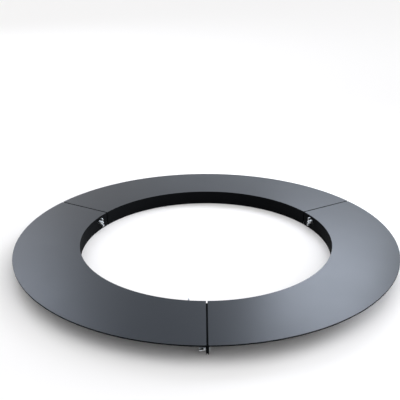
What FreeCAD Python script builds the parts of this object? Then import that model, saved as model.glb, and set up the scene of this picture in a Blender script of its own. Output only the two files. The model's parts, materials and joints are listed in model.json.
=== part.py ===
import FreeCAD, Part
import math
import os

from FreeCAD import Vector

# Tree ring edging: a flat steel ring in three segments that are bolted together round a standing tree.
# Sizes are in millimetres. The origin is the middle of the ring on the ground, +Z is up and -Y is the front.

# Ring
outer_diameter = 1000.0
inner_diameter = 664.0
ring_height = 40.0
plate_thickness = 3.0
plate_corner_radius = 2.0
seam_gap = 3.5

# Collar, a strip rolled on edge and welded below the inner rim
collar_thickness = 3.0

# Lap plates, behind the collar at each seam
lap_thickness = 3.0
lap_length = 110.0
lap_height = 24.0
lap_corner_radius = 4.0
lap_top_clearance = 1.0
lap_bolt_offset = 40.0
lap_bolt_drop = 11.0
coating_gap = 0.2

# Seam bars, welded below the straight ends of the plates
bar_thickness = 1.5
bar_end_inset = 11.0
bar_bolt_inset = 20.0
bar_edge_below_bolt = 11.0
bar_corner_radius = 4.0
bar_lap_clearance = 2.0

# Spacer strips, clamped between the seam bars
spacer_edge_below_bolt = 7.0

# Carriage bolts: domed head, square neck, plain round shank
bolt_diameter = 6.0
bolt_length = 20.0
bolt_tip_chamfer = 0.8
bolt_hole_clearance = 0.6
head_diameter = 16.0
head_height = 3.4
head_rim_height = 0.7
neck_depth = 2.6
neck_clearance = 0.4

# Washers
washer_diameter = 12.0
washer_thickness = 1.6
washer_hole_clearance = 0.4
washer_wall_clearance = 0.25

# Wing nuts
wing_span = 28.0
wing_thickness = 2.6
wing_lobe_radius = 4.2
wing_edge_chamfer = 0.6
wing_plate_clearance = 2.7
wing_root_inset = 1.5
nut_height = 12.5
hub_height = 7.5
hub_base_diameter = 13.0
hub_top_diameter = 11.0
hub_chamfer = 0.6
thread_clearance = 0.08
lap_wing_tilt = 82.0
bar_wing_tilt = 15.0

# Each seam: name, direction from the middle in degrees, and the side that its wing nuts are on,
# 1 for anticlockwise seen from above. Each segment runs anticlockwise from the seam of the same place.
seams = (("front", 270.0, -1), ("back_right", 30.0, -1), ("back_left", 150.0, 1))
segments = ("front_right", "back", "front_left")

# Worked out from the sizes above
outer_radius = outer_diameter / 2
inner_radius = inner_diameter / 2
underside = ring_height - plate_thickness
segment_sweep = 360.0 / len(segments)
collar_radius = inner_radius + collar_thickness
lap_inner_radius = collar_radius + coating_gap
lap_outer_radius = lap_inner_radius + lap_thickness
lap_bolt_height = underside - lap_bolt_drop
bar_inner_radius = lap_outer_radius + bar_lap_clearance
bar_outer_radius = outer_radius - bar_end_inset
bar_bolt_radius = outer_radius - bar_bolt_inset
bar_bolt_drop = wing_span / 2 + wing_plate_clearance
bar_depth = bar_bolt_drop + bar_edge_below_bolt
bar_bolt_height = underside - bar_bolt_drop
bolt_hole = bolt_diameter + bolt_hole_clearance
neck_hole = bolt_diameter + neck_clearance
spacer_hole = bolt_diameter * math.sqrt(2) + bolt_hole_clearance
cut_margin = 5.0
same_place = 1e-6

centre = Vector(0, 0, 0)
up = Vector(0, 0, 1)


def direction(angle):
    """Level unit vector that points from the middle of the ring at an angle in degrees."""
    return Vector(math.cos(math.radians(angle)), math.sin(math.radians(angle)), 0)


def seated(shape, seat, axis, across):
    """Copy of a shape, set on a seat with its own Z along axis and its own X along across."""
    placed = shape.copy()
    placed.Placement = FreeCAD.Placement(seat, FreeCAD.Rotation(across, axis.cross(across), axis, "ZXY"))
    return placed


def tilted(level, tilt):
    """Unit vector raised from a level direction by a tilt in degrees."""
    return level * math.cos(math.radians(tilt)) + up * math.sin(math.radians(tilt))


def curved_strip(inner, outer, low, high, start, sweep):
    """Rectangular section turned about the middle of the ring."""
    corners = [Vector(inner, 0, low), Vector(outer, 0, low), Vector(outer, 0, high), Vector(inner, 0, high)]
    section = Part.Face(Part.makePolygon(corners + corners[:1]))
    section.rotate(centre, up, start)
    return section.revolve(centre, up, sweep)


def seam_slot(angle):
    """Parallel-sided gap between two segments."""
    length = outer_radius - inner_radius + 2 * cut_margin
    height = ring_height + 2 * cut_margin
    corner = Vector(inner_radius - cut_margin, -seam_gap / 2, -cut_margin)
    slot = Part.makeBox(length, seam_gap, height, corner)
    slot.rotate(centre, up, angle)
    return slot


def between_seams(strip, start):
    """Segment cut back by half a seam gap at both ends."""
    return strip.cut([seam_slot(start), seam_slot(start + segment_sweep)])


def edges_along(shape, axis, keep):
    """Straight edges parallel to an axis whose middle passes a test."""
    found = []
    for edge in shape.Edges:
        run = edge.Vertexes[-1].Point - edge.Vertexes[0].Point
        straight = isinstance(edge.Curve, Part.Line)
        if straight and run.cross(axis).Length < same_place and keep(edge.CenterOfMass):
            found.append(edge)
    return found


def top_plate(start):
    """Flat plate of one segment, with its sharp outer corners eased."""
    strip = curved_strip(inner_radius, outer_radius, underside, ring_height, start, segment_sweep)
    plate = between_seams(strip, start)
    middle_radius = (inner_radius + outer_radius) / 2
    corners = edges_along(plate, up, lambda point: math.hypot(point.x, point.y) > middle_radius)
    return plate.makeFillet(plate_corner_radius, corners)


def lap_bolt_direction(angle, side):
    """Direction from the middle of the ring to the bolt through the collar near a seam."""
    return direction(angle + side * math.degrees(lap_bolt_offset / collar_radius))


def round_hole(diameter, seat, axis, depth):
    """Round hole for a bolt, deeper than the metal on both sides."""
    return Part.makeCylinder(diameter / 2, depth + 2 * cut_margin, seat - axis * cut_margin, axis)


def lap_round_hole(angle, side):
    """Clearance hole through the collar for a lap bolt."""
    outward = lap_bolt_direction(angle, side)
    seat = outward * inner_radius + up * lap_bolt_height
    return round_hole(bolt_hole, seat, outward, collar_thickness)


def collar(start, holes):
    """Rolled strip of one segment, as high as the space below its plate."""
    strip = curved_strip(inner_radius, collar_radius, 0, underside, start, segment_sweep)
    return between_seams(strip, start).cut(holes)


def square_hole(seat, axis, depth):
    """Square hole for the neck of a carriage bolt, deeper than the metal on both sides."""
    corner = Vector(-neck_hole / 2, -neck_hole / 2, -cut_margin)
    hole = Part.makeBox(neck_hole, neck_hole, depth + 2 * cut_margin, corner)
    return seated(hole, seat, axis, up)


def lap_plate(angle, side):
    """Curved plate behind the collar that bridges a seam, with round corners and a square bolt hole."""
    sweep = math.degrees(lap_length / lap_inner_radius)
    low = underside - lap_top_clearance - lap_height
    plate = curved_strip(lap_inner_radius, lap_outer_radius, low, low + lap_height, angle - sweep / 2, sweep)
    corners = []
    for end in (-1, 1):
        corners += edges_along(plate, direction(angle + end * sweep / 2), lambda point: True)
    plate = plate.makeFillet(lap_corner_radius, corners)
    outward = lap_bolt_direction(angle, side)
    seat = outward * lap_outer_radius + up * lap_bolt_height
    return plate.cut(square_hole(seat, -outward, lap_thickness))


def seam_bar(angle, side, holds_neck):
    """Flat bar that hangs below one straight end of a plate, with round lower corners and a bolt hole."""
    length = bar_outer_radius - bar_inner_radius
    near = seam_gap / 2 if side > 0 else -seam_gap / 2 - bar_thickness
    low = underside - bar_depth
    bar = Part.makeBox(length, bar_thickness, bar_depth, Vector(bar_inner_radius, near, low))
    across = Vector(0, 1, 0)
    lower_edges = edges_along(bar, across, lambda point: point.z < low + same_place)
    bar = bar.makeFillet(bar_corner_radius, lower_edges)
    seat = Vector(bar_bolt_radius, near, bar_bolt_height)
    if holds_neck:
        hole = square_hole(seat, across, bar_thickness)
    else:
        hole = round_hole(bolt_hole, seat, across, bar_thickness)
    bar = bar.cut(hole)
    bar.rotate(centre, up, angle)
    return bar


def bar_spacer(angle):
    """Flat strip that fills the gap between two seam bars, with a hole that clears the neck of the bolt."""
    length = bar_outer_radius - bar_inner_radius
    depth = bar_bolt_drop + spacer_edge_below_bolt
    strip = Part.makeBox(length, seam_gap, depth, Vector(bar_inner_radius, -seam_gap / 2, underside - depth))
    seat = Vector(bar_bolt_radius, -seam_gap / 2, bar_bolt_height)
    strip = strip.cut(round_hole(spacer_hole, seat, Vector(0, 1, 0), seam_gap))
    strip.rotate(centre, up, angle)
    return strip


def carriage_bolt():
    """Bolt with its head's flat side at the origin and its tip along +Z."""
    head_radius = head_diameter / 2
    shank_radius = bolt_diameter / 2
    crown = head_height - head_rim_height
    dome_radius = (head_radius ** 2 + crown ** 2) / (2 * crown)
    dome_middle = dome_radius - head_height
    half_angle = math.asin(head_radius / dome_radius) / 2
    top = Vector(0, 0, -head_height)
    on_dome = Vector(dome_radius * math.sin(half_angle), 0, dome_middle - dome_radius * math.cos(half_angle))
    rim = Vector(head_radius, 0, -head_rim_height)
    flat_edge = Vector(head_radius, 0, 0)
    outline = Part.Wire([
        Part.Arc(top, on_dome, rim).toShape(),
        Part.makeLine(rim, flat_edge),
        Part.makeLine(flat_edge, centre),
        Part.makeLine(centre, top),
    ])
    head = Part.Face(outline).revolve(centre, up, 360)
    neck = Part.makeBox(bolt_diameter, bolt_diameter, neck_depth, Vector(-shank_radius, -shank_radius, 0))
    tip_start = Vector(0, 0, bolt_length - bolt_tip_chamfer)
    shank = Part.makeCylinder(shank_radius, tip_start.z)
    tip = Part.makeCone(shank_radius, shank_radius - bolt_tip_chamfer, bolt_tip_chamfer, tip_start)
    return head.fuse([neck, shank, tip]).removeSplitter()


def washer():
    """Flat ring from the origin along +Z."""
    ring = Part.makeCylinder(washer_diameter / 2, washer_thickness)
    return ring.cut(Part.makeCylinder((bolt_diameter + washer_hole_clearance) / 2, washer_thickness))


def wing():
    """One wing of a wing nut along +X: a straight lower edge, a round lobe, and back down to the hub."""
    lobe = Vector(wing_span / 2 - wing_lobe_radius, 0, nut_height - wing_lobe_radius)
    low_root = Vector(hub_base_diameter / 2 - wing_root_inset, 0, wing_root_inset)
    high_root = Vector(hub_top_diameter / 2 - wing_root_inset, 0, hub_height - wing_root_inset / 2)
    to_lobe = lobe - low_root
    tangent_angle = math.atan2(to_lobe.z, to_lobe.x) - math.asin(wing_lobe_radius / to_lobe.Length)

    def on_lobe(angle):
        return lobe + Vector(math.cos(angle), 0, math.sin(angle)) * wing_lobe_radius

    lobe_start = on_lobe(tangent_angle - math.pi / 2)
    lobe_top = on_lobe(math.pi / 2)
    to_root = high_root - lobe
    lobe_end_angle = math.atan2(to_root.z, to_root.x) - math.acos(wing_lobe_radius / to_root.Length)
    lobe_end = on_lobe(lobe_end_angle)
    outline = Part.Wire([
        Part.makeLine(low_root, lobe_start),
        Part.Arc(lobe_start, lobe_top, lobe_end).toShape(),
        Part.makeLine(lobe_end, high_root),
        Part.makeLine(high_root, low_root),
    ])
    blade = Part.Face(outline).extrude(Vector(0, wing_thickness, 0))
    blade.translate(Vector(0, -wing_thickness / 2, 0))
    sides = [edge for edge in blade.Edges if abs(abs(edge.CenterOfMass.y) - wing_thickness / 2) < same_place]
    return blade.makeChamfer(wing_edge_chamfer, sides)


def wing_nut():
    """Wing nut with its flat base at the origin, its bore along +Z and its wings along X."""
    hub = Part.makeCone(hub_base_diameter / 2, hub_top_diameter / 2, hub_height)
    rims = [edge for edge in hub.Edges if isinstance(edge.Curve, Part.Circle)]
    hub = hub.makeChamfer(hub_chamfer, rims)
    right_wing = wing()
    left_wing = right_wing.copy()
    left_wing.rotate(centre, up, 180)
    bore = Part.makeCylinder(bolt_diameter / 2 + thread_clearance, nut_height)
    return hub.fuse([right_wing, left_wing]).cut(bore).removeSplitter()


def lap_fasteners(angle, side):
    """Bolt from behind the lap plate, with its washer and wing nut on the collar's inner face."""
    outward = lap_bolt_direction(angle, side)
    inward = -outward
    level = up * lap_bolt_height
    wall = math.sqrt(inner_radius ** 2 - (washer_diameter / 2) ** 2)
    washer_face = wall - washer_wall_clearance
    nut_face = washer_face - washer_thickness
    wings = tilted(direction(angle + side * 90), lap_wing_tilt)
    return {
        "bolt": seated(carriage_bolt(), outward * lap_outer_radius + level, inward, up),
        "washer": seated(washer(), outward * washer_face + level, inward, up),
        "wing_nut": seated(wing_nut(), outward * nut_face + level, inward, wings),
    }


def bar_fasteners(angle, side):
    """Bolt through both seam bars and their spacer, with the washer and wing nut beyond."""
    outward = direction(angle)
    along = direction(angle + side * 90)
    middle = outward * bar_bolt_radius + up * bar_bolt_height
    bar_face = seam_gap / 2 + bar_thickness
    nut_face = bar_face + washer_thickness
    wings = tilted(outward, bar_wing_tilt)
    return {
        "bolt": seated(carriage_bolt(), middle - along * bar_face, along, up),
        "washer": seated(washer(), middle + along * bar_face, along, up),
        "wing_nut": seated(wing_nut(), middle + along * nut_face, along, wings),
    }


def ring_parts():
    """Every piece of the ring by name."""
    parts = {}
    holes = {segment: [] for segment in segments}
    for index, (seam, angle, side) in enumerate(seams):
        bolted_segment = segments[index] if side > 0 else segments[index - 1]
        holes[bolted_segment].append(lap_round_hole(angle, side))
    for segment, (seam, angle, side) in zip(segments, seams):
        parts[f"{segment}_plate"] = top_plate(angle)
        parts[f"{segment}_collar"] = collar(angle, holes[segment])
    for index, (seam, angle, side) in enumerate(seams):
        parts[f"{seam}_lap_plate"] = lap_plate(angle, side)
        for bar_side, segment in ((1, segments[index]), (-1, segments[index - 1])):
            parts[f"{seam}_seam_bar_{segment}"] = seam_bar(angle, bar_side, bar_side != side)
        parts[f"{seam}_bar_spacer"] = bar_spacer(angle)
        for name, shape in lap_fasteners(angle, side).items():
            parts[f"{seam}_lap_{name}"] = shape
        for name, shape in bar_fasteners(angle, side).items():
            parts[f"{seam}_bar_{name}"] = shape
    return parts


os.makedirs("parts", exist_ok=True)
for node, shape in ring_parts().items():
    shape.exportStep(f"parts/{node}.step")
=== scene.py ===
import json
import math

import bmesh
import bpy
from bpy.props import FloatProperty, FloatVectorProperty, IntProperty, PointerProperty
from mathutils import Matrix, Vector


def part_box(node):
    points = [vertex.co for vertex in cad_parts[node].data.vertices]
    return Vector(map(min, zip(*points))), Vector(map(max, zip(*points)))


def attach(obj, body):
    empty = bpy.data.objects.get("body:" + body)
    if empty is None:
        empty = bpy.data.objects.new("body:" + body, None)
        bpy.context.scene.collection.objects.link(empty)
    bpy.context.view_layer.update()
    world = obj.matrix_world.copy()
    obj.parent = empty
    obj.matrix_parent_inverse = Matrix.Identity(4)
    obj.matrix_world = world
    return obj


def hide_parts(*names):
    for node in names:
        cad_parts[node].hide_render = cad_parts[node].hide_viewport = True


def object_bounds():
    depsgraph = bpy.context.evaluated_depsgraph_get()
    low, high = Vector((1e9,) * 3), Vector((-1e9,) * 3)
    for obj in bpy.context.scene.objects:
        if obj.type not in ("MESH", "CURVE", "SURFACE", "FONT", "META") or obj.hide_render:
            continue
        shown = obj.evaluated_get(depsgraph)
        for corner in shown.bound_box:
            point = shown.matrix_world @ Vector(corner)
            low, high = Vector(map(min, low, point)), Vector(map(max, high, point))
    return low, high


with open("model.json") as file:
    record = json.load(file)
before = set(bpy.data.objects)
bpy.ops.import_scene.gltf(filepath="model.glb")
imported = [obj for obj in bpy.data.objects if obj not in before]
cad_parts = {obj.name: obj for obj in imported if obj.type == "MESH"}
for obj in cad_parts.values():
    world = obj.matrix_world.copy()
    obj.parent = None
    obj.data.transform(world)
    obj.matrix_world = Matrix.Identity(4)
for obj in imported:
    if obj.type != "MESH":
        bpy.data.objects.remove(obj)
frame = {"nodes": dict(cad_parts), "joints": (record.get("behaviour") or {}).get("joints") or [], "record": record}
cad_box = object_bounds()

bl_info = {
    "name": "Tree Ring Edging",
    "version": (1, 0, 0),
    "blender": (4, 5, 0),
    "location": "3D View > Sidebar > Tree Ring",
    "description": "Finishes, welds, threads and studio for a bolted steel tree ring",
    "category": "Object",
}

UP = Vector((0, 0, 1))

# The turn of each seam about the middle of the ring, and the seam at which each segment begins.
SEAMS = {"front": math.radians(270), "back_right": math.radians(30), "back_left": math.radians(150)}
SEGMENTS = {"front_right": "front", "back": "back_right", "front_left": "back_left"}
FASTENINGS = [f"{seam}_{kind}" for seam in SEAMS for kind in ("lap", "bar")]

COAT_SLOT = "coated_steel"
SATIN_COAT = "anthracite_satin_powder_coat"
# Material of the painted shade: near-black coat on cut edges, upright faces and spacers.
PAINTED_SHADE_COAT = "thin_anthracite_powder_coat"
ZINC_PLATING = "bright_zinc_plated_steel"
POLYESTER_IOR = 1.5

# A face is level if its normal has at least this upward or downward share.
LEVEL_LIMIT = 0.97

# Angles between two faces: below the first they are one flat face, above the second the edge of a solid
# is rounded, and above the third the edge of a new piece shades as a sharp one.
FLAT_LIMIT = math.radians(0.2)
ROUNDED_LIMIT = math.radians(40)
SHARP_LIMIT = math.radians(50)
EDGE_STEPS = 3

# How far each pass moves a corner of a casting towards the middle of its neighbours.
CASTING_SOFTNESS = 0.5

# Bolts: steps round the axis, rows of faces in the dome and along one pitch, and the thread's flat crest
# and root as shares of the pitch.
ROUND_STEPS = 36
DOME_STEPS = 10
ROWS_PER_PITCH = 8
CREST_SHARE = 0.125
ROOT_SHARE = 0.25

# Welds: rows of faces along one ripple, steps across the bead, the blunt start of its round end in legs,
# and how far its crown and its ripples stand out as shares of its reach.
ROWS_PER_RIPPLE = 6
BEAD_STEPS = 8
WELD_END = 0.02
WELD_CROWN = 0.2
WELD_WAVE = 0.025

# Welds of a lap plate: the length of the one on its end as a share of a stitch, and the middle of the one
# below it as a share of the way from the seam to that end.
LAP_END_WELD = 0.6
LAP_EDGE_WELD = 0.55

SENSOR_WIDTH_MM = 36.0


def linear(code):
    """Linear colour, with full alpha, of an sRGB hex code."""
    channels = [int(code[place:place + 2], 16) / 255 for place in (1, 3, 5)]
    curve = [c / 12.92 if c <= 0.04045 else ((c + 0.055) / 1.055) ** 2.4 for c in channels]
    return (*curve, 1.0)


def colour(name, description, code):
    """Property for a colour, which starts at an sRGB hex code."""
    return FloatVectorProperty(
        name=name, description=description, subtype="COLOR", size=4, min=0.0, max=1.0, default=linear(code)
    )


def length(name, description, metres):
    """Property for a length."""
    return FloatProperty(
        name=name, description=description, unit="LENGTH", min=0.0, precision=5, default=metres
    )


def share(name, description, value):
    """Property for a value from 0 to 1."""
    return FloatProperty(
        name=name, description=description, subtype="FACTOR", min=0.0, max=1.0, default=value
    )


def angle(name, description, degrees):
    """Property for an angle."""
    return FloatProperty(name=name, description=description, subtype="ANGLE", default=math.radians(degrees))


def power(name, description, watts):
    """Property for the power of a light."""
    return FloatProperty(name=name, description=description, unit="POWER", min=0.0, default=watts)


def position(name, description, metres):
    """Property for a place in the ring's frame."""
    return FloatVectorProperty(
        name=name, description=description, subtype="TRANSLATION", unit="LENGTH", default=metres
    )


def count(name, description, number):
    """Property for a number of things, at least one."""
    return IntProperty(name=name, description=description, min=1, default=number)


class TreeRingFinish(bpy.types.PropertyGroup):
    """Colours and surface sizes of the ring's two finishes."""

    coat: colour("Coat", "Powder coat where it lies evenly", "#2c2f34")
    coat_thin: colour("Thin coat", "Powder coat where it lies a little thinner", "#282b30")
    coat_roughness: share("Coat roughness", "Roughness of the satin coat", 0.34)
    coat_gloss: share("Coat gloss", "How much the satin coat mirrors", 0.5)
    # Painted shade: two near-black tones for cut edges and upright faces, which stand for the shade these faces
    # lie in; the tones drift into each other at random.
    painted_shade_tone: colour("Edge coat", "Coat on cut edges and upright faces", "#0b0c0e")
    painted_shade_tone_deep: colour("Thin edge coat", "Coat there where it lies thinnest", "#060708")
    edge_roughness: share("Edge roughness", "Roughness of the coat on cut edges and upright faces", 0.75)
    edge_gloss: share("Edge gloss", "How much the coat on cut edges and upright faces mirrors", 0.04)
    coat_unevenness: share("Coat unevenness", "How far the roughness of a coat drifts each way", 0.03)
    cloud_size: length("Cloud size", "Width of one stretch of fuller or thinner coat", 0.09)
    peel_size: length("Orange peel", "Width of one wave of the baked coat", 0.0018)
    peel_depth: length("Orange peel depth", "Height of the waves of the baked coat", 0.000012)
    zinc: colour("Zinc", "Bright zinc plating", "#dddfe0")
    zinc_dull: colour("Dull zinc", "Zinc plating where handling has dulled it", "#bec1c4")
    zinc_roughness: share("Zinc roughness", "Roughness of the plating", 0.30)
    zinc_unevenness: share("Zinc unevenness", "How far the roughness of the plating drifts each way", 0.08)
    zinc_grain: length("Zinc grain", "Width of one patch of the plating", 0.0016)


class TreeRingSizes(bpy.types.PropertyGroup):
    """Sizes of the detail that is added to the solids."""

    edge_radius: length("Edge radius", "Rounding of the coated sheet's edges", 0.0003)
    washer_edge_radius: length("Washer edge radius", "Rounding of the stamped washers' edges", 0.0002)
    join_distance: length("Join distance", "Corners of a solid closer than this are one", 0.00001)
    weld_leg: length("Weld leg", "Leg of the fillet welds below the plates", 0.0028)
    weld_length: length("Weld length", "Length of one stitch of weld", 0.026)
    weld_ripple: length("Weld ripple", "Distance between two ripples of a weld", 0.002)
    weld_seam_clearance: angle("Weld seam clearance", "Turn from a seam to the collar's first weld", 14.0)
    collar_stitches: count("Collar stitches", "Welds along each collar", 6)
    bar_stitches: count("Bar stitches", "Welds along each seam bar", 3)
    casting_grain: length("Casting detail", "Smallest detail of the cast wing nuts", 0.0004)
    casting_passes: count("Casting passes", "How many times the wing nuts' edges are softened", 6)
    bolt_diameter: length("Bolt", "Thread diameter of the bolts", 0.006)
    thread_pitch: length("Thread pitch", "Distance between two threads", 0.001)
    thread_depth: length("Thread depth", "Depth of the thread", 0.00055)
    head_diameter: length("Bolt head", "Diameter of the domed bolt head", 0.016)
    head_height: length("Head height", "Height of the domed bolt head", 0.0034)
    head_rim: length("Head rim", "Height of the straight rim of the bolt head", 0.0007)
    neck_depth: length("Neck", "Depth of the square neck below the bolt head", 0.0026)
    tip_chamfer: length("Bolt tip", "Chamfer at the bolt tip", 0.0008)


class TreeRingStudio(bpy.types.PropertyGroup):
    """Camera, floor and lights."""

    lens: FloatProperty(
        name="Lens", description="Focal length on a 36 mm sensor", unit="CAMERA", min=1.0, default=57.47
    )
    distance: length("Distance", "From the camera to the middle of the ring's top", 1.7117)
    elevation: angle("Elevation", "Height of the camera above the ring's top", 25.16)
    orbit: angle("Orbit", "Turn of the camera about the ring, to the right", -0.34)
    pitch: angle("Pitch", "Downward tilt of the camera", 21.90)
    yaw: angle("Yaw", "Turn of the camera to the right of the ring's middle", -0.55)
    roll: angle("Roll", "Turn of the camera about its own axis", -0.30)
    floor: colour("Floor", "Pale studio floor", "#fdf6ef")
    floor_roughness: share("Floor roughness", "Roughness of the floor's matt paint", 0.9)
    floor_reach: length("Floor reach", "From the middle of the ring to each side of the floor", 30.0)
    dome: colour("Dome", "Light from all round", "#f2f8ff")
    dome_strength: FloatProperty(
        name="Dome strength", description="Brightness of the light from all round", min=0.0, default=1.29
    )
    wall: colour("Wall", "Neutral wall at the back left, seen in the coat", "#fff7ea")
    wall_height: angle("Wall height", "Height of its middle above the horizon", 8.0)
    wall_turn: angle("Wall turn", "Turn of its middle to the left of the back", 26.0)
    wall_reach: angle("Wall reach", "From its middle to where it has faded out", 26.0)
    back_screen: colour("Back screen", "Dark screen behind the ring, seen in the coat", "#000000")
    back_screen_height: angle("Back screen height", "Height of its middle above the horizon", 37.8)
    back_screen_turn: angle("Back screen turn", "Turn of its middle to the left of the back", 11.2)
    back_screen_reach: angle("Back screen reach", "From its middle to where it has faded out", 27.3)
    front_screen: colour("Front screen", "Dimmer side of the room, which deepens the shadow", "#a8adb4")
    front_screen_height: angle("Front screen height", "Height of its middle above the horizon", 0.0)
    front_screen_turn: angle("Front screen turn", "Turn of its middle to the left of the back", 130.0)
    front_screen_reach: angle("Front screen reach", "From its middle to where it has faded out", 90.0)
    window: colour("Window", "Cool light of the windows", "#e3edff")
    near_window_size: length("Near window", "Side of the light close to the ring", 0.489)
    near_window_place: position("Near window place", "Middle of that light", (0.505, 0.887, 0.773))
    near_window_power: power("Near window power", "Power of that light", 4.6)
    far_window_size: length("Far window", "Side of the light far behind the ring", 1.291)
    far_window_place: position("Far window place", "Middle of that light", (-1.919, 3.498, 2.687))
    far_window_power: power("Far window power", "Power of that light", 29.0)
    side_window_size: length("Side window", "Side of the light low at the right", 0.4)
    side_window_place: position("Side window place", "Middle of that light", (1.4, 0.4, 0.3))
    side_window_power: power("Side window power", "Power of that light", 11.0)


def add_node(tree, kind, inputs=None, **settings):
    """Add a node with its settings, and set or link its inputs."""
    node = tree.nodes.new(kind)
    for name, value in settings.items():
        setattr(node, name, value)
    for name, value in (inputs or {}).items():
        if isinstance(value, bpy.types.NodeSocket):
            tree.links.new(value, node.inputs[name])
        else:
            node.inputs[name].default_value = value
    return node


def new_material(name):
    """Empty node material, and its node tree."""
    material = bpy.data.materials.new(name)
    material.use_nodes = True
    material.node_tree.nodes.clear()
    return material, material.node_tree


def powder_coat(name, finish, tones, roughness, gloss):
    """Polyester powder, sprayed on cut sheet steel and baked, in two tones that drift into each other."""
    material, tree = new_material(name)
    place = add_node(tree, "ShaderNodeTexCoord").outputs["Object"]
    cloud = add_node(tree, "ShaderNodeTexNoise", {
        "Vector": place,
        "Scale": 1 / finish.cloud_size,
        "Detail": 3.0,
    })
    peel = add_node(tree, "ShaderNodeTexNoise", {
        "Vector": place,
        "Scale": 1 / finish.peel_size,
        "Detail": 2.0,
    })
    tint = add_node(tree, "ShaderNodeMix", {
        "Factor": cloud.outputs["Fac"],
        "A": tones[0],
        "B": tones[1],
    }, data_type="RGBA")
    rough = add_node(tree, "ShaderNodeMapRange", {
        "Value": cloud.outputs["Fac"],
        "To Min": roughness - finish.coat_unevenness,
        "To Max": roughness + finish.coat_unevenness,
    })
    waves = add_node(tree, "ShaderNodeBump", {
        "Height": peel.outputs["Fac"],
        "Distance": finish.peel_depth,
        "Strength": 1.0,
    })
    shader = add_node(tree, "ShaderNodeBsdfPrincipled", {
        "Base Color": tint.outputs["Result"],
        "Roughness": rough.outputs["Result"],
        "Normal": waves.outputs["Normal"],
        "IOR": POLYESTER_IOR,
        "Specular IOR Level": gloss,
    })
    add_node(tree, "ShaderNodeOutputMaterial", {"Surface": shader.outputs["BSDF"]})
    return material


def satin_powder_coat(finish):
    """The satin coat, on level faces and welds; upright faces get the painted shade instead."""
    # A satin coat spreads highlights into wide soft gradients, and its slight orange peel keeps them from
    # looking like a mirror. The waves are fine, so they only show close up.
    tones = finish.coat, finish.coat_thin
    return powder_coat(SATIN_COAT, finish, tones, finish.coat_roughness, finish.coat_gloss)


def painted_shade_powder_coat(finish):
    """Painted shade: the same powder made near-black on cut edges and upright faces, for the shade they lie in."""
    # Painted shade: near-black and dull, so these faces reflect little and look almost black, as in shade.
    tones = finish.painted_shade_tone, finish.painted_shade_tone_deep
    return powder_coat(PAINTED_SHADE_COAT, finish, tones, finish.edge_roughness, finish.edge_gloss)


def upright_face_painted_shade(material):
    """Node group that gives a material, here the painted shade, to the faces of a piece that aren't level."""
    group = bpy.data.node_groups.new("coat_upright_faces", "GeometryNodeTree")
    group.interface.new_socket("Geometry", in_out="INPUT", socket_type="NodeSocketGeometry")
    group.interface.new_socket("Geometry", in_out="OUTPUT", socket_type="NodeSocketGeometry")
    piece = add_node(group, "NodeGroupInput")
    facing = add_node(group, "GeometryNodeInputNormal")
    upward = add_node(group, "ShaderNodeSeparateXYZ", {"Vector": facing.outputs["Normal"]})
    level = add_node(group, "ShaderNodeMath", {0: upward.outputs["Z"]}, operation="ABSOLUTE")
    upright = add_node(group, "FunctionNodeCompare", {
        "A": level.outputs["Value"],
        "B": LEVEL_LIMIT,
    }, data_type="FLOAT", operation="LESS_THAN")
    coated = add_node(group, "GeometryNodeSetMaterial", {
        "Geometry": piece.outputs["Geometry"],
        "Selection": upright.outputs["Result"],
        "Material": material,
    })
    add_node(group, "NodeGroupOutput", {"Geometry": coated.outputs["Geometry"]})
    return group


def zinc_plated_steel(finish):
    """Bright zinc, plated on steel fasteners."""
    # Plating gives a pale silver with soft highlights and small patches that are duller than the rest.
    material, tree = new_material(ZINC_PLATING)
    place = add_node(tree, "ShaderNodeTexCoord").outputs["Object"]
    patches = add_node(tree, "ShaderNodeTexNoise", {
        "Vector": place,
        "Scale": 1 / finish.zinc_grain,
        "Detail": 4.0,
    })
    tint = add_node(tree, "ShaderNodeMix", {
        "Factor": patches.outputs["Fac"],
        "A": finish.zinc,
        "B": finish.zinc_dull,
    }, data_type="RGBA")
    rough = add_node(tree, "ShaderNodeMapRange", {
        "Value": patches.outputs["Fac"],
        "To Min": finish.zinc_roughness - finish.zinc_unevenness,
        "To Max": finish.zinc_roughness + finish.zinc_unevenness,
    })
    shader = add_node(tree, "ShaderNodeBsdfPrincipled", {
        "Base Color": tint.outputs["Result"],
        "Roughness": rough.outputs["Result"],
        "Metallic": 1.0,
    })
    add_node(tree, "ShaderNodeOutputMaterial", {"Surface": shader.outputs["BSDF"]})
    return material


def matt_floor_paint(studio):
    """Matt paint on the studio floor."""
    # Matt paint shows the soft shadow below the ring and no reflection of it.
    material, tree = new_material("matt_white_floor_paint")
    shader = add_node(tree, "ShaderNodeBsdfPrincipled", {
        "Base Color": studio.floor,
        "Roughness": studio.floor_roughness,
    })
    add_node(tree, "ShaderNodeOutputMaterial", {"Surface": shader.outputs["BSDF"]})
    return material


def coat_material(context):
    """The satin coat, made if it isn't there yet."""
    return bpy.data.materials.get(SATIN_COAT) or satin_powder_coat(context.scene.tree_ring_finish)


def zinc_material(context):
    """The zinc plating, made if it isn't there yet."""
    return bpy.data.materials.get(ZINC_PLATING) or zinc_plated_steel(context.scene.tree_ring_finish)


def direction(turn):
    """Level unit vector from the middle of the ring at an angle in radians."""
    return Vector((math.cos(turn), math.sin(turn), 0))


def span(name, along):
    """Lowest and highest place of a solid's corners along a direction."""
    places = [corner.co.dot(along) for corner in frame["nodes"][name].data.vertices]
    return min(places), max(places)


def radius(name):
    """Distance of a solid's farthest corner from the middle of the ring."""
    return max(corner.co.xy.length for corner in frame["nodes"][name].data.vertices)


def fastening_place(fastening):
    """Placement of a bolt's axis, with Z to the bolt's tip and X upward."""
    for joint in frame["joints"]:
        if joint["name"] == f"{fastening}_nut_turn":
            axis = Vector(joint["axis"])
            turned = Matrix((UP, axis.cross(UP), axis)).transposed().to_4x4()
            return Matrix.Translation(joint["pos_m"]) @ turned
    raise RuntimeError(f"no joint turns the nut of {fastening}")


def paint(piece, material):
    """Give a piece one material."""
    piece.data.materials.clear()
    piece.data.materials.append(material)


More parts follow.
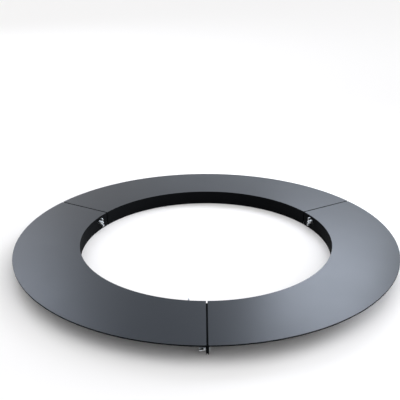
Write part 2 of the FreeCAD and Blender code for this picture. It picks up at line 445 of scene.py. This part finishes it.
def new_piece(name, form, material, body):
    """Put a closed form in the scene, faces outward, as a piece of the object that moves with a body."""
    bmesh.ops.recalc_face_normals(form, faces=form.faces)
    if form.calc_volume(signed=True) < 0:
        bmesh.ops.reverse_faces(form, faces=form.faces)
    mesh = bpy.data.meshes.new(name)
    form.to_mesh(mesh)
    form.free()
    mesh.shade_smooth()
    mesh.set_sharp_from_angle(angle=SHARP_LIMIT)
    piece = bpy.data.objects.new(name, mesh)
    bpy.context.scene.collection.objects.link(piece)
    paint(piece, material)
    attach(piece, body)
    return piece


def add_skin(form, rows):
    """Close a surface through rows of points that each go once round, with a cap on both ends."""
    rings = [[form.verts.new(point) for point in row] for row in rows]
    for lower, upper in zip(rings, rings[1:]):
        for place in range(len(lower)):
            after = (place + 1) % len(lower)
            form.faces.new((lower[place], lower[after], upper[after], upper[place]))
    form.faces.new(reversed(rings[0]))
    form.faces.new(rings[-1])


def sheet_nodes():
    """CAD nodes made of coated sheet: plates, collars, lap plates, seam bars and spacers."""
    slots = {row["node"]: row["material_slot"] for row in frame["record"]["subparts"]}
    return {name: node for name, node in frame["nodes"].items() if slots[name] == COAT_SLOT}


def round_edges(node, sizes, width):
    """Round the edges of a solid, which its own mesh has as sharp ones."""
    # The triangles of a flat face are joined first, because slivers would hold the rounding back.
    join = node.modifiers.new("join_faces", "WELD")
    join.merge_threshold = sizes.join_distance
    flat = node.modifiers.new("join_flat_faces", "DECIMATE")
    flat.decimate_type = "DISSOLVE"
    flat.angle_limit = FLAT_LIMIT
    bevel = node.modifiers.new("round_edges", "BEVEL")
    bevel.width = width
    bevel.segments = EDGE_STEPS
    bevel.loop_slide = False
    bevel.limit_method = "ANGLE"
    bevel.angle_limit = ROUNDED_LIMIT


class CoatSheetSteel(bpy.types.Operator):
    """Powder coat the plates, collars, lap plates, seam bars and spacers, with painted shade on upright faces and
    spacers
    """

    bl_idname = "tree_ring.coat_sheet_steel"
    bl_label = "Coat Sheet Steel"

    def execute(self, context):
        sizes = context.scene.tree_ring_sizes
        satin = coat_material(context)
        painted_shade = painted_shade_powder_coat(context.scene.tree_ring_finish)
        upright = upright_face_painted_shade(painted_shade)
        for name, node in sheet_nodes().items():
            # Spacers, seen only down the seam slots, are painted shade all over; the other pieces get painted
            # shade on their upright faces.
            paint(node, painted_shade if name.endswith("spacer") else satin)
            round_edges(node, sizes, sizes.edge_radius)
            node.modifiers.new("coat_upright_faces", "NODES").node_group = upright
        return {"FINISHED"}


class PlateWashers(bpy.types.Operator):
    """Zinc plate the washers"""

    bl_idname = "tree_ring.plate_washers"
    bl_label = "Plate Washers"

    def execute(self, context):
        sizes = context.scene.tree_ring_sizes
        material = zinc_material(context)
        for fastening in FASTENINGS:
            washer = frame["nodes"][f"{fastening}_washer"]
            paint(washer, material)
            round_edges(washer, sizes, sizes.washer_edge_radius)
        return {"FINISHED"}


def circle(across, height):
    """Points once round an axis, at a distance from it that may change with the turn."""
    turns = [2 * math.pi * step / ROUND_STEPS for step in range(ROUND_STEPS)]
    return [direction(turn) * across(turn) + UP * height for turn in turns]


def add_bolt_head(form, sizes):
    """Domed head with a straight rim, and its flat side at the origin."""
    wide = sizes.head_diameter / 2
    crown = sizes.head_height - sizes.head_rim
    dome = (wide ** 2 + crown ** 2) / (2 * crown)
    steep = math.asin(wide / dome)
    rows = []
    for step in range(1, DOME_STEPS + 1):
        tilt = steep * step / DOME_STEPS
        height = dome - sizes.head_height - dome * math.cos(tilt)
        rows.append(circle(lambda turn: dome * math.sin(tilt), height))
    rows.append(circle(lambda turn: wide, -sizes.edge_radius / 2))
    rows.append(circle(lambda turn: wide - sizes.edge_radius / 2, 0))
    add_skin(form, rows)


def add_bolt_neck(form, sizes):
    """Square neck below the head, with its corners broken."""
    half = sizes.bolt_diameter / 2
    corner = half - sizes.edge_radius
    section = [(half, -corner), (half, corner), (corner, half), (-corner, half),
               (-half, corner), (-half, -corner), (-corner, -half), (corner, -half)]
    add_skin(form, [[Vector((x, y, height)) for x, y in section] for height in (0, sizes.neck_depth)])


def thread_radius(sizes, tip, turn, height):
    """Distance of a right-handed thread's surface from its axis."""
    crest = sizes.bolt_diameter / 2
    phase = (height / sizes.thread_pitch - turn / (2 * math.pi)) % 1.0
    flank = min(phase, 1 - phase) * 2
    groove = min(max((flank - CREST_SHARE) / (1 - CREST_SHARE - ROOT_SHARE), 0), 1)
    run_in = min(max((height - sizes.neck_depth) / sizes.thread_pitch, 0), 1)
    blunt = crest - max(height - tip + sizes.tip_chamfer, 0)
    return min(crest - sizes.thread_depth * groove * run_in, blunt)


def add_bolt_thread(form, sizes, tip):
    """Threaded shank from the neck to a blunt tip."""
    rows = []
    last = math.ceil((tip - sizes.neck_depth) / sizes.thread_pitch * ROWS_PER_PITCH)
    for row in range(last + 1):
        height = sizes.neck_depth + (tip - sizes.neck_depth) * row / last
        rows.append(circle(lambda turn: thread_radius(sizes, tip, turn, height), height))
    add_skin(form, rows)


class ThreadBolts(bpy.types.Operator):
    """Make the carriage bolts with their threads"""

    bl_idname = "tree_ring.thread_bolts"
    bl_label = "Thread Bolts"

    def execute(self, context):
        sizes = context.scene.tree_ring_sizes
        material = zinc_material(context)
        for fastening in FASTENINGS:
            place = fastening_place(fastening)
            axis = place.col[2].to_3d()
            head, tip = span(f"{fastening}_bolt", axis)
            seat = head + sizes.head_height
            form = bmesh.new()
            add_bolt_head(form, sizes)
            add_bolt_neck(form, sizes)
            add_bolt_thread(form, sizes, tip - seat)
            form.transform(place @ Matrix.Translation(UP * (seat - place.translation.dot(axis))))
            piece = new_piece(f"{fastening}_threaded_bolt", form, material, "ring")
            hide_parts(f"{fastening}_bolt")
        return {"FINISHED"}


class CastWingNuts(bpy.types.Operator):
    """Make the wing nuts with the soft edges of a casting"""

    bl_idname = "tree_ring.cast_wing_nuts"
    bl_label = "Cast Wing Nuts"

    def execute(self, context):
        sizes = context.scene.tree_ring_sizes
        material = zinc_material(context)
        for fastening in FASTENINGS:
            nut = f"{fastening}_wing_nut"
            place = fastening_place(fastening)
            blank = bpy.data.objects.new("blank", frame["nodes"][nut].data.copy())
            blank.data.transform(place.inverted())
            context.scene.collection.objects.link(blank)
            remesh = blank.modifiers.new("grain", "REMESH")
            remesh.mode = "VOXEL"
            remesh.voxel_size = sizes.casting_grain
            form = bmesh.new()
            form.from_object(blank, context.evaluated_depsgraph_get())
            bpy.data.objects.remove(blank)
            if not form.faces:
                raise RuntimeError(f"{nut} has no closed form to cast")
            # The bore isn't softened, so the nut still runs on its bolt.
            bore = sizes.bolt_diameter / 2 + sizes.edge_radius
            outside = [corner for corner in form.verts if corner.co.xy.length > bore]
            for _ in range(sizes.casting_passes):
                bmesh.ops.smooth_vert(form, verts=outside, factor=CASTING_SOFTNESS,
                                      use_axis_x=True, use_axis_y=True, use_axis_z=True)
            form.transform(place)
            piece = new_piece(f"{fastening}_cast_wing_nut", form, material, nut)
            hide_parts(nut)
        return {"FINISHED"}


def add_weld(form, sizes, run, corner, first, second):
    """Add a rippled bead in an inside corner. Each function gives its value at a distance along the bead:
    the corner, and the directions in which the bead lies on the two faces."""
    rows = []
    last = math.ceil(run / sizes.weld_ripple * ROWS_PER_RIPPLE)
    for step in range(last + 1):
        along = run * step / last
        from_end = min(along, run - along) / sizes.weld_leg
        swell = math.sqrt(1 - (1 - min(from_end + WELD_END, 1)) ** 2)
        row = [corner(along) - (first(along) + second(along)) * sizes.edge_radius]
        for part in range(BEAD_STEPS + 1):
            lean = math.pi / 2 * part / BEAD_STEPS
            bulge = (1 + WELD_CROWN * math.sin(2 * lean)) / (math.cos(lean) + math.sin(lean))
            wave = math.cos(2 * math.pi * along / sizes.weld_ripple + math.pi * math.sin(2 * lean))
            reach = sizes.weld_leg * swell * bulge * (1 + WELD_WAVE * wave)
            heading = first(along) * math.cos(lean) + second(along) * math.sin(lean)
            row.append(corner(along) + heading * reach)
        rows.append(row)
    add_skin(form, rows)


def add_curved_weld(form, sizes, across, height, start, first, second):
    """Add a stitch along a circle round the middle of the ring. The two faces that it lies on are given by
    their outward and upward shares."""
    def outward(along):
        return direction(start + along / across)

    def side(shares):
        return lambda along: outward(along) * shares[0] + UP * shares[1]

    add_weld(form, sizes, sizes.weld_length, lambda along: outward(along) * across + UP * height,
             side(first), side(second))


def add_straight_weld(form, sizes, run, start, heading, first, second):
    """Add a bead along a straight corner."""
    add_weld(form, sizes, run, lambda along: start + heading * along,
             lambda along: first, lambda along: second)


def weld_piece(context, name, form):
    """Put the welds of one joint in the scene."""
    new_piece(name, form, coat_material(context), "ring")


class WeldCollars(bpy.types.Operator):
    """Weld the collars below the plates"""

    bl_idname = "tree_ring.weld_collars"
    bl_label = "Weld Collars"

    def execute(self, context):
        sizes = context.scene.tree_ring_sizes
        for segment, seam in SEGMENTS.items():
            collar = f"{segment}_collar"
            across = radius(collar)
            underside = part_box(collar)[1].z
            stitch = sizes.weld_length / across
            first = SEAMS[seam] + sizes.weld_seam_clearance
            room = 2 * math.pi / len(SEGMENTS) - 2 * sizes.weld_seam_clearance - stitch
            form = bmesh.new()
            for number in range(sizes.collar_stitches):
                start = first + room * number / max(sizes.collar_stitches - 1, 1)
                add_curved_weld(form, sizes, across, underside, start, (1, 0), (0, -1))
            weld_piece(context, f"{segment}_collar_welds", form)
        return {"FINISHED"}


class WeldSeamBars(bpy.types.Operator):
    """Weld the seam bars below the plates"""

    bl_idname = "tree_ring.weld_seam_bars"
    bl_label = "Weld Seam Bars"

    def execute(self, context):
        sizes = context.scene.tree_ring_sizes
        for seam, turn in SEAMS.items():
            outward = direction(turn)
            aside = UP.cross(outward)
            washer = span(f"{seam}_bar_washer", outward)[0]
            form = bmesh.new()
            for bar in [name for name in frame["nodes"] if name.startswith(f"{seam}_seam_bar")]:
                inner = span(bar, outward)[0] + sizes.weld_leg
                side = max(span(bar, aside), key=abs)
                away = aside if side > 0 else -aside
                underside = span(bar, UP)[1]
                gap = (washer - inner - sizes.bar_stitches * sizes.weld_length) / sizes.bar_stitches
                for number in range(sizes.bar_stitches):
                    begin = inner + number * (sizes.weld_length + gap)
                    start = outward * begin + aside * side + UP * underside
                    add_straight_weld(form, sizes, sizes.weld_length, start, outward, away, -UP)
            weld_piece(context, f"{seam}_bar_welds", form)
        return {"FINISHED"}


class WeldLapPlates(bpy.types.Operator):
    """Weld one end of each lap plate to the collar"""

    bl_idname = "tree_ring.weld_lap_plates"
    bl_label = "Weld Lap Plates"

    def execute(self, context):
        sizes = context.scene.tree_ring_sizes
        across = radius("back_collar")
        for seam, turn in SEAMS.items():
            aside = UP.cross(direction(turn))
            hand = -1 if sum(span(f"{seam}_lap_bolt", aside)) > 0 else 1
            lap = f"{seam}_lap_plate"
            low, high = span(lap, UP)
            swing = math.asin(span(lap, aside * hand)[1] / radius(lap)) * hand
            outward = direction(turn + swing)
            tangent = UP.cross(outward) * hand
            middle = outward * across + UP * (low + high) / 2
            run = sizes.weld_length * LAP_END_WELD
            begin = turn + swing * LAP_EDGE_WELD - sizes.weld_length / across / 2
            form = bmesh.new()
            add_straight_weld(form, sizes, run, middle - UP * run / 2, UP, tangent, outward)
            add_curved_weld(form, sizes, across, low, begin, (0, -1), (1, 0))
            weld_piece(context, f"{seam}_lap_welds", form)
        return {"FINISHED"}


def add_floor(studio, height):
    """Square floor that the ring stands on."""
    mesh = bpy.data.meshes.new("studio_floor")
    form = bmesh.new()
    bmesh.ops.create_grid(form, x_segments=1, y_segments=1, size=studio.floor_reach)
    form.to_mesh(mesh)
    form.free()
    floor = bpy.data.objects.new("studio_floor", mesh)
    floor.location.z = height
    bpy.context.scene.collection.objects.link(floor)
    paint(floor, matt_floor_paint(studio))


def add_window(studio, name, aim):
    """Square soft light that faces a point."""
    lamp = bpy.data.lights.new(name, "AREA")
    lamp.size = getattr(studio, f"{name}_size")
    lamp.energy = getattr(studio, f"{name}_power")
    lamp.color = studio.window[:3]
    light = bpy.data.objects.new(name, lamp)
    light.location = getattr(studio, f"{name}_place")
    light.rotation_euler = (aim - light.location).to_track_quat("-Z", "Y").to_euler()
    light.visible_camera = False
    bpy.context.scene.collection.objects.link(light)


def add_screen(tree, studio, name, light):
    """Fade a screen of another brightness into the light from all round."""
    height, turn, reach = [getattr(studio, f"{name}_{value}") for value in ("height", "turn", "reach")]
    level = Vector((-math.sin(turn), math.cos(turn), 0))
    middle = level * math.cos(height) + UP * math.sin(height)
    place = add_node(tree, "ShaderNodeTexCoord").outputs["Generated"]
    nearness = add_node(tree, "ShaderNodeVectorMath", {0: place, 1: middle}, operation="DOT_PRODUCT")
    fade = add_node(tree, "ShaderNodeMapRange", {
        "Value": nearness.outputs["Value"],
        "From Min": math.cos(reach),
        "From Max": 1.0,
    }, interpolation_type="SMOOTHSTEP")
    mixed = add_node(tree, "ShaderNodeMix", {
        "Factor": fade.outputs["Result"],
        "A": light,
        "B": getattr(studio, name),
    }, data_type="RGBA")
    return mixed.outputs["Result"]


def studio_dome(studio):
    """White dome all round, with a wall and a dark screen behind the ring and a dimmer side in front."""
    world = bpy.data.worlds.new("studio_dome")
    world.use_nodes = True
    tree = world.node_tree
    tree.nodes.clear()
    tint = studio.dome
    for screen in ("wall", "back_screen", "front_screen"):
        tint = add_screen(tree, studio, screen, tint)
    light = add_node(tree, "ShaderNodeBackground", {"Color": tint, "Strength": studio.dome_strength})
    add_node(tree, "ShaderNodeOutputWorld", {"Surface": light.outputs["Background"]})
    return world


def add_camera(studio, height):
    """Camera in front of the ring, which it views from above."""
    lens = bpy.data.cameras.new("camera")
    lens.sensor_width = SENSOR_WIDTH_MM
    lens.lens = studio.lens
    camera = bpy.data.objects.new("camera", lens)
    back = studio.distance * math.cos(studio.elevation)
    spot = Vector((0, -back, height + studio.distance * math.sin(studio.elevation)))
    orbit = Matrix.Rotation(studio.orbit, 4, "Z")
    turn = Matrix.Rotation(-studio.yaw, 4, "Z")
    tip = Matrix.Rotation(math.pi / 2 - studio.pitch, 4, "X")
    lean = Matrix.Rotation(studio.roll, 4, "Z")
    camera.matrix_world = orbit @ Matrix.Translation(spot) @ turn @ tip @ lean
    bpy.context.scene.collection.objects.link(camera)
    bpy.context.scene.camera = camera


class SetStudio(bpy.types.Operator):
    """Add the floor, the lights and the camera"""

    bl_idname = "tree_ring.set_studio"
    bl_label = "Set Studio"

    def execute(self, context):
        studio = context.scene.tree_ring_studio
        low, high = cad_box
        add_floor(studio, low.z)
        for window in ("near_window", "far_window", "side_window"):
            add_window(studio, window, UP * high.z)
        context.scene.world = studio_dome(studio)
        context.scene.view_settings.view_transform = "Standard"
        add_camera(studio, high.z)
        return {"FINISHED"}


class TreeRingPanel(bpy.types.Panel):
    """Settings and steps of the tree ring"""

    bl_idname = "VIEW3D_PT_tree_ring"
    bl_label = "Tree Ring"
    bl_space_type = "VIEW_3D"
    bl_region_type = "UI"
    bl_category = "Tree Ring"

    def draw(self, context):
        for group in GROUPS:
            box = self.layout.box()
            settings = getattr(context.scene, group)
            for name in settings.__annotations__:
                box.prop(settings, name)
        for step in STEPS:
            self.layout.operator(step.bl_idname)


GROUPS = {
    "tree_ring_finish": TreeRingFinish,
    "tree_ring_sizes": TreeRingSizes,
    "tree_ring_studio": TreeRingStudio,
}
STEPS = (
    CoatSheetSteel, PlateWashers, ThreadBolts, CastWingNuts,
    WeldCollars, WeldSeamBars, WeldLapPlates, SetStudio,
)


def register():
    for name, group in GROUPS.items():
        bpy.utils.register_class(group)
        setattr(bpy.types.Scene, name, PointerProperty(type=group))
    for step in (*STEPS, TreeRingPanel):
        bpy.utils.register_class(step)


def unregister():
    for step in (TreeRingPanel, *reversed(STEPS)):
        bpy.utils.unregister_class(step)
    for name, group in reversed(GROUPS.items()):
        delattr(bpy.types.Scene, name)
        bpy.utils.unregister_class(group)


def main():
    register()
    bpy.ops.tree_ring.coat_sheet_steel()
    bpy.ops.tree_ring.plate_washers()
    bpy.ops.tree_ring.thread_bolts()
    bpy.ops.tree_ring.cast_wing_nuts()
    bpy.ops.tree_ring.weld_collars()
    bpy.ops.tree_ring.weld_seam_bars()
    bpy.ops.tree_ring.weld_lap_plates()
    bpy.ops.tree_ring.set_studio()


if __name__ == "__main__":
    main()
